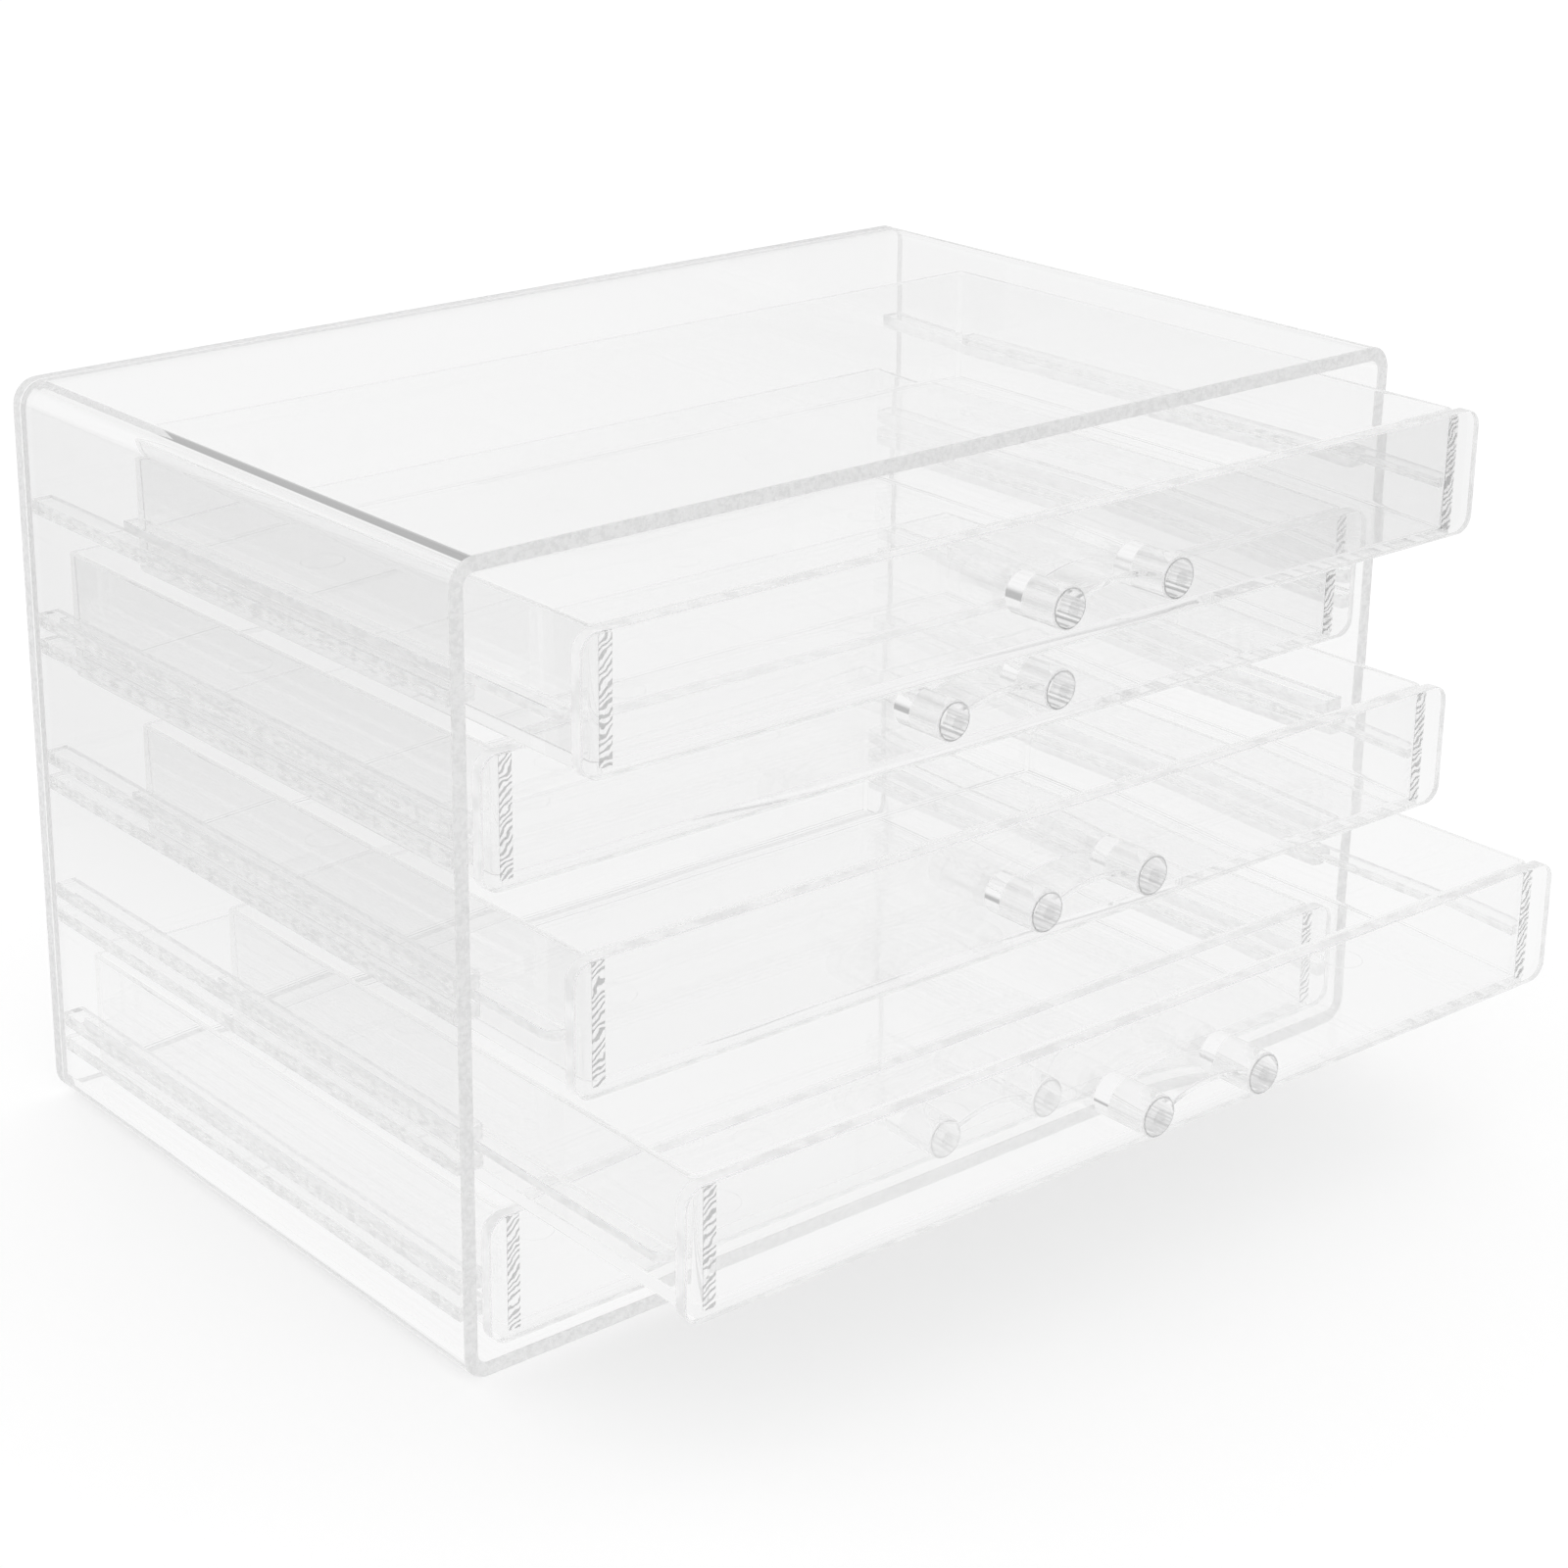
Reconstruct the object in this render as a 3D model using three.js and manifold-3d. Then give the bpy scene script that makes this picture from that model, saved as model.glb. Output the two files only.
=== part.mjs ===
// Clear acrylic box with five shallow drawers, for make-up and jewellery.
// Millimetres. X runs to the right, Y to the back and Z up; the origin is the centre of the case's base.

import * as THREE from 'three';
import { mergeVertices } from 'three/addons/utils/BufferGeometryUtils.js';
import Module from 'manifold-3d';

const wasm = await Module();
wasm.setup();

// Case: a rounded tube on its side, closed at the back by a flat panel
const CASE_WIDTH = 240;
const CASE_DEPTH = 152.2;
const CASE_HEIGHT = 158.5;
const CASE_WALL = 3;
const CASE_CORNER_RADIUS = 5.4;
const BACK_PANEL_THICKNESS = 3;
const CASE_EDGE_BEVEL = 0.25;

// Glued faces stand apart by one film of clear cement
const GLUE_LINE = 0.1;

// Drawers: how far each is pulled out, from the top one down, and how far a closed one stands proud
const DRAWER_OPENINGS = [28.8, 0, 26.3, 56.7, 0.2];
const CLOSED_PROUD = 0.3;

// Front panels, and the gaps that they leave in the case's mouth
const PANEL_THICKNESS = 3;
const PANEL_CORNER_RADIUS = 3.8;
const PANEL_EDGE_BEVEL = 0.25;
const PANEL_SIDE_GAP = 2.75;
const PANEL_TOP_GAP = 3.7;
const PANEL_BOTTOM_GAP = 2.7;
const PANEL_SPACING = 3.9;

// Trays: moulded boxes, open at the top, with walls that thin towards the rim, and the gaps to the case
const TRAY_SIDE_GAP = 6.9;
const TRAY_BACK_GAP = 1;
const TRAY_WALL_AT_FLOOR = 2;
const TRAY_WALL_AT_RIM = 1.2;
const TRAY_FLOOR = 2;
const TRAY_DROP = 0.8;
const TRAY_CORNER_RADIUS = 1.6;
const TRAY_INNER_CORNER_RADIUS = 1.2;
const TRAY_BOTTOM_RADIUS = 0.8;
const TRAY_INNER_BOTTOM_RADIUS = 0.8;

// Runners: strips on the trays' sides, each in the slot between two guide ribs on the case's side wall
const RUNNER_SIDE_GAP = 3.2;
const RUNNER_THICKNESS = 2;
const RUNNER_NOSE_RADIUS = 2.8;
const RUNNER_FRONT_SETBACK = 4.5;
const RUNNER_BACK_SETBACK = 2;
const SLOT_CLEARANCE = 0.3;
const RIB_TRAY_GAP = 2.3;
const RIB_THICKNESS = 3;
const RIB_NOSE_RADIUS = 1.2;
const RIB_FLOOR_OFFSET = 5.5;
const RIB_STOP_GAP = 0.3;

// Handles: two round posts with an arched bow between them
const POST_SPACING = 28;
const POST_DIAMETER = 8.4;
const POST_LENGTH = 12.4;
const POST_EDGE_BEVEL = 0.4;
const POST_RISE = 0.25;
const BOW_WIDTH = 11.2;
const BOW_THICKNESS = 1.2;
const BOW_RISE = 2.5;
const BOW_END_HEIGHT = 1.1;
const BOW_SEAT = 2.4;

// Fineness of the round forms
const CORNER_STEPS = 4;
const FILLET_STEPS = 3;
const POST_SIDES = 40;
const BOW_STEPS = 14;

// One overrun serves every cut
const CUT_OVERRUN = 5;

// Places worked out from the sizes
const CASE_FRONT = -CASE_DEPTH / 2;
const CASE_BACK = CASE_DEPTH / 2;
const BACK_PANEL_FRONT = CASE_BACK - BACK_PANEL_THICKNESS;
const INNER_HALF_WIDTH = CASE_WIDTH / 2 - CASE_WALL;
const DRAWER_COUNT = DRAWER_OPENINGS.length;
const PANEL_WIDTH = 2 * (INNER_HALF_WIDTH - PANEL_SIDE_GAP);
const PANELS_TOGETHER = CASE_HEIGHT - 2 * CASE_WALL - PANEL_TOP_GAP - PANEL_BOTTOM_GAP;
const PANEL_HEIGHT = (PANELS_TOGETHER - (DRAWER_COUNT - 1) * PANEL_SPACING) / DRAWER_COUNT;
const DRAWER_PITCH = PANEL_HEIGHT + PANEL_SPACING;
const POST_AXIS_HEIGHT = PANEL_HEIGHT / 2 + POST_RISE;
const TRAY_WIDTH = 2 * (INNER_HALF_WIDTH - TRAY_SIDE_GAP);
const TRAY_BACK = BACK_PANEL_FRONT - TRAY_BACK_GAP;
const TRAY_DEPTH = TRAY_BACK - (CASE_FRONT - CLOSED_PROUD + PANEL_THICKNESS + GLUE_LINE);
const RUNNER_WIDTH = TRAY_SIDE_GAP - GLUE_LINE - RUNNER_SIDE_GAP;
const RIB_WIDTH = TRAY_SIDE_GAP - GLUE_LINE - RIB_TRAY_GAP;
const RIB_FRONT = CASE_FRONT - CLOSED_PROUD + PANEL_THICKNESS + RIB_STOP_GAP;
const SLOT_HEIGHT = RUNNER_THICKNESS + 2 * SLOT_CLEARANCE;
const SLOT_FLOOR_OFFSET = RIB_FLOOR_OFFSET + RIB_THICKNESS;

const clearCase = { color: 0xf4f6f7, roughness: 0.05, metalness: 0, transparent: true, opacity: 0.3 };
const clearDrawer = { color: 0xf6f8f9, roughness: 0.08, metalness: 0, transparent: true, opacity: 0.3 };
const clearHandle = { color: 0xfafbfc, roughness: 0.03, metalness: 0, transparent: true, opacity: 0.4 };

const organizer = new THREE.Group();

function addPiece(parent, name, geometry, finish) {
  const piece = new THREE.Mesh(geometry, new THREE.MeshStandardMaterial(finish));
  piece.name = name;
  parent.add(piece);
  return piece;
}

// Rectangle centred on the origin, with round corners
function roundedRectangle(width, height, radius, path = new THREE.Shape()) {
  const right = width / 2 - radius;
  const top = height / 2 - radius;
  path.moveTo(-right, -top - radius);
  path.absarc(right, -top, radius, -Math.PI / 2, 0);
  path.absarc(right, top, radius, 0, Math.PI / 2);
  path.absarc(-right, top, radius, Math.PI / 2, Math.PI);
  path.absarc(-right, -top, radius, Math.PI, 3 * Math.PI / 2);
  path.closePath();
  return path;
}

// Flat sheet with round corners and fine bevels, standing upright, its front face at y = 0
function uprightSheet(width, height, thickness, radius, bevel) {
  const outline = roundedRectangle(width - 2 * bevel, height - 2 * bevel, radius - bevel);
  const geometry = new THREE.ExtrudeGeometry(outline, {
    depth: thickness - 2 * bevel,
    curveSegments: CORNER_STEPS,
    bevelSize: bevel,
    bevelThickness: bevel,
    bevelSegments: 1,
  });
  geometry.rotateX(Math.PI / 2);
  geometry.translate(0, thickness - bevel, 0);
  return geometry;
}

function toSolid(geometry) {
  const bare = geometry.clone();
  bare.deleteAttribute('normal');
  bare.deleteAttribute('uv');
  const merged = mergeVertices(bare);
  const vertProperties = new Float32Array(merged.attributes.position.array);
  const triVerts = new Uint32Array(merged.index.array);
  return new wasm.Manifold(new wasm.Mesh({ numProp: 3, vertProperties, triVerts }));
}

function toGeometry(solid) {
  const mesh = solid.getMesh();
  const geometry = new THREE.BufferGeometry();
  geometry.setAttribute('position', new THREE.BufferAttribute(new Float32Array(mesh.vertProperties), 3));
  geometry.setIndex(new THREE.BufferAttribute(new Uint32Array(mesh.triVerts), 1));
  const faceted = geometry.toNonIndexed();
  faceted.computeVertexNormals();
  return faceted;
}

// Case tube: the outer outline with the cavity's outline as its hole, run from the front rim to the back
function caseShell() {
  const outline = roundedRectangle(CASE_WIDTH, CASE_HEIGHT, CASE_CORNER_RADIUS);
  const cavityRadius = CASE_CORNER_RADIUS - CASE_WALL;
  const cavity = roundedRectangle(
    CASE_WIDTH - 2 * CASE_WALL, CASE_HEIGHT - 2 * CASE_WALL, cavityRadius, new THREE.Path());
  outline.holes.push(cavity);
  const length = BACK_PANEL_FRONT - GLUE_LINE - CASE_FRONT;
  const geometry = new THREE.ExtrudeGeometry(outline, {
    depth: length, curveSegments: CORNER_STEPS, bevelEnabled: false,
  });
  geometry.rotateX(Math.PI / 2);
  geometry.translate(0, CASE_FRONT + length, CASE_HEIGHT / 2);
  return geometry;
}

function backPanel() {
  const geometry = uprightSheet(
    CASE_WIDTH, CASE_HEIGHT, BACK_PANEL_THICKNESS, CASE_CORNER_RADIUS, CASE_EDGE_BEVEL);
  geometry.translate(0, BACK_PANEL_FRONT, CASE_HEIGHT / 2);
  return geometry;
}

// Strip that lies along a side, in plan: straight on the glued side, with its free front corner rounded off
function stripPlan(gluedX, freeX, frontY, backY, noseRadius) {
  const inward = Math.sign(freeX - gluedX);
  const centreX = freeX - inward * noseRadius;
  const centreY = frontY + noseRadius;
  const plan = new THREE.Shape();
  plan.moveTo(gluedX, frontY);
  plan.lineTo(centreX, frontY);
  plan.absarc(centreX, centreY, noseRadius, -Math.PI / 2, inward > 0 ? 0 : -Math.PI, inward < 0);
  plan.lineTo(freeX, backY);
  plan.lineTo(gluedX, backY);
  plan.closePath();
  return plan;
}

function strip(plan, bottomZ, thickness) {
  const geometry = new THREE.ExtrudeGeometry(plan, {
    depth: thickness, curveSegments: CORNER_STEPS, bevelEnabled: false,
  });
  geometry.translate(0, 0, bottomZ);
  return geometry;
}

// Guide ribs of one drawer on one side wall; side is 1 on the right and -1 on the left
function addGuideRibs(parent, number, sideName, side, panelBottom) {
  const gluedX = side * (INNER_HALF_WIDTH - GLUE_LINE);
  const freeX = gluedX - side * RIB_WIDTH;
  const plan = stripPlan(gluedX, freeX, RIB_FRONT, BACK_PANEL_FRONT - GLUE_LINE, RIB_NOSE_RADIUS);
  const lowerBottom = panelBottom + RIB_FLOOR_OFFSET;
  const lowerRib = strip(plan, lowerBottom, RIB_THICKNESS);
  addPiece(parent, `guide_rib_${number}_${sideName}_lower`, lowerRib, clearCase);
  if (number > 1) {
    const upperBottom = lowerBottom + RIB_THICKNESS + SLOT_HEIGHT;
    const upperRib = strip(plan, upperBottom, RIB_THICKNESS);
    addPiece(parent, `guide_rib_${number}_${sideName}_upper`, upperRib, clearCase);
  }
}

// Box with round upright corners and a rounded bottom edge, from z = 0 up past height
function roundBottomBox(width, depth, height, cornerRadius, bottomRadius) {
  const outline = roundedRectangle(
    width - 2 * bottomRadius, depth - 2 * bottomRadius, cornerRadius - bottomRadius);
  const geometry = new THREE.ExtrudeGeometry(outline, {
    depth: height,
    curveSegments: CORNER_STEPS,
    bevelSize: bottomRadius,
    bevelThickness: bottomRadius,
    bevelSegments: FILLET_STEPS,
  });
  geometry.translate(0, 0, bottomRadius);
  return geometry;
}

// Moves each quarter of a box outwards, not at all at z = 0 and by the whole spread at the given height
function widenUpwards(geometry, height, spread) {
  const places = geometry.attributes.position;
  for (let index = 0; index < places.count; index += 1) {
    const outwards = spread * places.getZ(index) / height;
    places.setX(index, places.getX(index) + Math.sign(places.getX(index)) * outwards);
    places.setY(index, places.getY(index) + Math.sign(places.getY(index)) * outwards);
  }
}

// Moulded tray: the front wall's outer face at y = 0, the underside at z = 0, the rim cut off level
function tray() {
  const height = PANEL_HEIGHT + TRAY_DROP;
  const outer = roundBottomBox(TRAY_WIDTH, TRAY_DEPTH, height, TRAY_CORNER_RADIUS, TRAY_BOTTOM_RADIUS);
  const inner = roundBottomBox(
    TRAY_WIDTH - 2 * TRAY_WALL_AT_FLOOR, TRAY_DEPTH - 2 * TRAY_WALL_AT_FLOOR, height,
    TRAY_INNER_CORNER_RADIUS, TRAY_INNER_BOTTOM_RADIUS);
  widenUpwards(inner, height - TRAY_FLOOR, TRAY_WALL_AT_FLOOR - TRAY_WALL_AT_RIM);
  inner.translate(0, 0, TRAY_FLOOR);
  const aboveRim = new THREE.BoxGeometry(
    TRAY_WIDTH + 2 * CUT_OVERRUN, TRAY_DEPTH + 2 * CUT_OVERRUN, height);
  aboveRim.translate(0, 0, height + height / 2);
  const geometry = toGeometry(toSolid(outer).subtract(toSolid(aboveRim)).subtract(toSolid(inner)));
  geometry.translate(0, TRAY_DEPTH / 2, 0);
  return geometry;
}

function runner(side) {
  const gluedX = side * (TRAY_WIDTH / 2 + GLUE_LINE);
  const freeX = gluedX + side * RUNNER_WIDTH;
  const frontY = PANEL_THICKNESS + RUNNER_FRONT_SETBACK;
  const backY = PANEL_THICKNESS + GLUE_LINE + TRAY_DEPTH - RUNNER_BACK_SETBACK;
  const plan = stripPlan(gluedX, freeX, frontY, backY, RUNNER_NOSE_RADIUS);
  return strip(plan, SLOT_FLOOR_OFFSET + SLOT_CLEARANCE, RUNNER_THICKNESS);
}

// Round post that stands out to the front, its foot at y = 0
function post(centreX) {
  const radius = POST_DIAMETER / 2;
  const profile = [
    new THREE.Vector2(0, 0),
    new THREE.Vector2(radius, 0),
    new THREE.Vector2(radius, POST_LENGTH - POST_EDGE_BEVEL),
    new THREE.Vector2(radius - POST_EDGE_BEVEL, POST_LENGTH),
    new THREE.Vector2(0, POST_LENGTH),
  ];
  const geometry = new THREE.LatheGeometry(profile, POST_SIDES);
  geometry.rotateX(Math.PI);
  geometry.translate(centreX, 0, 0);
  return geometry;
}

// Arched strip between the posts, run along them; its ends lie inside the posts
function bow() {
  const halfSpan = POST_SPACING / 2 - BOW_SEAT;
  const topRadius = (halfSpan ** 2 + BOW_RISE ** 2) / (2 * BOW_RISE);
  const halfAngle = Math.asin(halfSpan / topRadius);
  const centreZ = BOW_END_HEIGHT - topRadius * Math.cos(halfAngle);
  const from = Math.PI / 2 - halfAngle;
  const to = Math.PI / 2 + halfAngle;
  const section = new THREE.Shape();
  section.absarc(0, centreZ, topRadius, from, to);
  section.absarc(0, centreZ, topRadius - BOW_THICKNESS, to, from, true);
  section.closePath();
  const geometry = new THREE.ExtrudeGeometry(section, {
    depth: BOW_WIDTH, curveSegments: BOW_STEPS, bevelEnabled: false,
  });
  geometry.rotateX(Math.PI / 2);
  geometry.translate(0, -(POST_LENGTH - BOW_WIDTH) / 2, 0);
  return geometry;
}

function handle() {
  const left = toSolid(post(-POST_SPACING / 2));
  const right = toSolid(post(POST_SPACING / 2));
  return toGeometry(left.add(right).add(toSolid(bow())));
}

// One drawer, in its own group: y = 0 is the panel's front face and z = 0 the panel's bottom edge
function addDrawer(parent, number, panelBottom, opening) {
  const drawer = new THREE.Group();
  drawer.position.set(0, CASE_FRONT - CLOSED_PROUD - opening, panelBottom);
  const panel = uprightSheet(
    PANEL_WIDTH, PANEL_HEIGHT, PANEL_THICKNESS, PANEL_CORNER_RADIUS, PANEL_EDGE_BEVEL);
  addPiece(drawer, `front_panel_${number}`, panel, clearDrawer).position.z = PANEL_HEIGHT / 2;
  const trayPiece = addPiece(drawer, `tray_${number}`, tray(), clearDrawer);
  trayPiece.position.set(0, PANEL_THICKNESS + GLUE_LINE, -TRAY_DROP);
  const handlePiece = addPiece(drawer, `handle_${number}`, handle(), clearHandle);
  handlePiece.position.set(0, -GLUE_LINE, POST_AXIS_HEIGHT);
  addPiece(drawer, `runner_${number}_left`, runner(-1), clearDrawer);
  addPiece(drawer, `runner_${number}_right`, runner(1), clearDrawer);
  parent.add(drawer);
}

addPiece(organizer, 'case_shell', caseShell(), clearCase);
addPiece(organizer, 'back_panel', backPanel(), clearCase);

for (let number = 1; number <= DRAWER_COUNT; number += 1) {
  const panelBottom = CASE_WALL + PANEL_BOTTOM_GAP + (DRAWER_COUNT - number) * DRAWER_PITCH;
  addGuideRibs(organizer, number, 'left', -1, panelBottom);
  addGuideRibs(organizer, number, 'right', 1, panelBottom);
  addDrawer(organizer, number, panelBottom, DRAWER_OPENINGS[number - 1]);
}

export default organizer;
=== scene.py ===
"""The looks of a clear acrylic box with five drawers, built round its CAD frame. Metres, +Z up."""

import math

import bmesh
import bpy
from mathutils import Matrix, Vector


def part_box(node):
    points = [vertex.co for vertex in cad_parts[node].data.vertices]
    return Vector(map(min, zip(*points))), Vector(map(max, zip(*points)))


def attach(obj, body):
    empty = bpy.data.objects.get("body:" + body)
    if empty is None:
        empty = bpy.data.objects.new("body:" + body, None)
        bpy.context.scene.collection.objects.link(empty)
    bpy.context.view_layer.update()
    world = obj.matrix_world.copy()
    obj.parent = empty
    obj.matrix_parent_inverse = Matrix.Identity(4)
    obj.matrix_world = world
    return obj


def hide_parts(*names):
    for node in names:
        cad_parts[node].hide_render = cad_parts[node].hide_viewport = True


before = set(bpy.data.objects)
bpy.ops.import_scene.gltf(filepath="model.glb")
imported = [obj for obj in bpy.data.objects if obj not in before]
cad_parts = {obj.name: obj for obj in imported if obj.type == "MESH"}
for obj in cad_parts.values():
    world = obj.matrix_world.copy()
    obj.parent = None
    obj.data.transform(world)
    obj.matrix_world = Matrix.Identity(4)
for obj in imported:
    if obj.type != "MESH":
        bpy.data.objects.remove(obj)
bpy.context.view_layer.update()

MM = 0.001

# The photograph's frame and the camera that took it, solved from the box's own edges
FRAME_PX = 1600
PRINCIPAL_PX = (664.4, 684.9)
CAMERA_PLACE = Vector((-0.4300, -0.5229, 0.3324))
CAMERA_AZIMUTH = math.radians(-38.34)
CAMERA_ELEVATION = math.radians(19.62)
CAMERA_LENS = 78.04
SENSOR_WIDTH = 36.0

DRAWER_COUNT = 5
# The top drawer has no upper ribs: the case's top holds it down
UPPER_RIB_PAIRS = 4
DRAWERS = range(1, DRAWER_COUNT + 1)

# Steps round a quarter of a corner, and across an eased edge
ARC_STEPS = 12
EASE_STEPS = 4
# Degrees past which an edge stays sharp, and how far the larger faces rule the normals
CREASE = 30
FACE_SIZE_WEIGHT = 100


# Colours

def srgb(hex_value, alpha=1.0):
    """A hex sRGB colour, such as 'F4F6F7', in the linear values that the shaders take."""
    channels = []
    for start in (0, 2, 4):
        value = int(hex_value[start:start + 2], 16) / 255
        channels.append(value / 12.92 if value <= 0.04045 else ((value + 0.055) / 1.055) ** 2.4)
    return (*channels, alpha)


# Nodes

def add_node(tree, kind, links=None, **settings):
    """Adds a node, sets its properties and sockets, and links its inputs to other outputs."""
    node = tree.nodes.new(kind)
    for key, value in settings.items():
        if hasattr(node, key):
            setattr(node, key, value)
        else:
            node.inputs[key.replace("_", " ")].default_value = value
    for socket, source in (links or {}).items():
        tree.links.new(source, node.inputs[socket])
    return node


def new_material(name):
    material = bpy.data.materials.new(name)
    material.use_nodes = True
    material.node_tree.nodes.clear()
    return material, material.node_tree


# The share of a cut face's painted glow, an emission that stands in for the light it would throw
# about, as seen from inside the plastic
PAINTED_GLOW_SHARE_INSIDE = 0.75
# Where the noise of a cut face passes from the light tone of its painted glow to the dark one
GRAIN_RANGE = (0.4, 0.65)


def clear_plastic(name, colour, ior, roughness, wave_size, wave_height, tooth_size=None,
                  tooth_height=0.0, tooth_stretch=(1, 1, 1), painted_glow_share=0.0,
                  tones=("FFFFFF", "FFFFFF")):
    """A clear plastic whose surface has slow waves and, where asked for, a fine tooth on them.

    The painted glow share is for cut faces: the share of an emission, a painted glow in two tones
    that follow the tooth, which stands in for the studio's light that they would throw about. As
    seen from inside the plastic it is PAINTED_GLOW_SHARE_INSIDE.
    """
    material, tree = new_material(name)
    place = add_node(tree, "ShaderNodeTexCoord")
    waves = add_node(tree, "ShaderNodeTexNoise", {"Vector": place.outputs["Object"]},
                     Scale=1 / wave_size, Detail=1.0, Roughness=0.4)
    bump = add_node(tree, "ShaderNodeBump", {"Height": waves.outputs["Fac"]},
                    Strength=1.0, Distance=wave_height)
    grain = waves
    if tooth_size:
        stretch = add_node(tree, "ShaderNodeMapping", {"Vector": place.outputs["Object"]},
                           Scale=tooth_stretch)
        grain = add_node(tree, "ShaderNodeTexNoise", {"Vector": stretch.outputs["Vector"]},
                         Scale=1 / tooth_size, Detail=3.0, Roughness=0.6)
        bump = add_node(tree, "ShaderNodeBump",
                        {"Height": grain.outputs["Fac"], "Normal": bump.outputs["Normal"]},
                        Strength=1.0, Distance=tooth_height)
    shader = add_node(tree, "ShaderNodeBsdfPrincipled", {"Normal": bump.outputs["Normal"]},
                      Base_Color=srgb(colour), Roughness=roughness, IOR=ior,
                      Transmission_Weight=1.0)
    surface = shader.outputs["BSDF"]
    # Painted glow: an emission mixed in by share, more of it as seen from inside, stands in for
    # light the cut face would throw about
    if painted_glow_share:
        tone = mix_colours(tree, map_range(tree, grain.outputs["Fac"], GRAIN_RANGE), *tones)
        light = add_node(tree, "ShaderNodeEmission", {"Color": tone}, Strength=1.0)
        inside = add_node(tree, "ShaderNodeNewGeometry").outputs["Backfacing"]
        share = add_node(tree, "ShaderNodeMapRange", {"Value": inside},
                         To_Min=painted_glow_share, To_Max=PAINTED_GLOW_SHARE_INSIDE)
        lit = add_node(tree, "ShaderNodeMixShader",
                       {0: share.outputs[0], 1: surface, 2: light.outputs[0]})
        surface = lit.outputs[0]
    add_node(tree, "ShaderNodeOutputMaterial", {"Surface": surface})
    return material


def map_range(tree, value, limits):
    """Maps a value smoothly to 0 at the first limit and to 1 at the second."""
    node = add_node(tree, "ShaderNodeMapRange", {"Value": value}, interpolation_type="SMOOTHSTEP")
    node.inputs["From Min"].default_value = limits[0]
    node.inputs["From Max"].default_value = limits[1]
    return node.outputs[0]


def mix_colours(tree, share, first, second):
    """The first colour where the share is 0, the second where it is 1."""
    node = add_node(tree, "ShaderNodeMix", {"Factor": share}, data_type="RGBA")
    node.inputs[6].default_value = srgb(first)
    node.inputs[7].default_value = srgb(second)
    return node.outputs[2]


ACRYLIC_IOR = 1.49
STYRENE_IOR = 1.57
CEMENT_IOR = 1.46

# Extruded acrylic sheet, bent and polished: almost flat, with the faint long waves of the rollers
sheet = clear_plastic("extruded_acrylic_sheet_polished", "FEFEFE", ACRYLIC_IOR, roughness=0.0,
                      wave_size=90 * MM, wave_height=0.04 * MM)
# The same sheet where the saw has cut it: a satin band with the blade's fine tooth, and a painted
# glow that stands in for the light the cut throws about
sawn_edge_painted_glow = clear_plastic("acrylic_sheet_sawn_edge", "FCFCFC", ACRYLIC_IOR, roughness=0.3,
                     wave_size=6 * MM, wave_height=0.05 * MM,
                     tooth_size=0.9 * MM, tooth_height=0.25 * MM,
                     painted_glow_share=0.65, tones=("E6E6E6", "D8D8D8"))
# Polished acrylic fronts, with cut edges that are smoothed to a satin
front = clear_plastic("acrylic_front_polished", "FEFEFE", ACRYLIC_IOR, roughness=0.0,
                      wave_size=70 * MM, wave_height=0.03 * MM)
# Its satin edge also carries a painted glow that stands in for the light the edge throws about
front_edge_painted_glow = clear_plastic("acrylic_front_satin_edge", "FDFDFD", ACRYLIC_IOR, roughness=0.28,
                           wave_size=5 * MM, wave_height=0.03 * MM,
                           painted_glow_share=0.75, tones=("F4F4F4", "E8E8E8"))
# Injection-moulded clear styrene trays: glossy, with slow flow waves that bend what shows through
moulded = clear_plastic("clear_styrene_tray_moulded", "FEFEFE", STYRENE_IOR, roughness=0.0,
                        wave_size=60 * MM, wave_height=0.2 * MM)
# Acrylic strip cut for ribs and runners: polished, with a satin edge along free side and nose
strip_stock = clear_plastic("acrylic_strip_polished", "FEFEFE", ACRYLIC_IOR, roughness=0.0,
                            wave_size=40 * MM, wave_height=0.002 * MM)
# The sawn edge also carries a painted glow that stands in for the light the edge throws about
strip_end_painted_glow = clear_plastic("acrylic_strip_sawn_edge", "FCFCFC", ACRYLIC_IOR, roughness=0.35,
                          wave_size=3 * MM, wave_height=0.03 * MM,
                          tooth_size=0.7 * MM, tooth_height=0.06 * MM, tooth_stretch=(1, 0.3, 1),
                          painted_glow_share=0.5, tones=("F4F4F4", "E2E2E2"))
# Injection-moulded acrylic handles: thick, glossy and very clear
handle_plastic = clear_plastic("clear_acrylic_handle_moulded", "FEFEFE", ACRYLIC_IOR,
                               roughness=0.0, wave_size=15 * MM, wave_height=0.02 * MM)
# The turned edge round the end of a handle's post: satin, and tinted grey as painted shade, so that
# it shows as a thin grey ring
handle_rim_painted_shade = clear_plastic("clear_acrylic_handle_turned_rim", "B4B4B4", ACRYLIC_IOR,
                           roughness=0.2, wave_size=3 * MM, wave_height=0.01 * MM)

# How many bands a wave texture draws in one unit at scale 1, over a full turn
WAVE_BANDS = 20
# Where dried cement passes from clear to a string, and how rough the strings are
STRING_RANGE = (0.45, 0.75)
STRING_ROUGHNESS = 0.35


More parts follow.
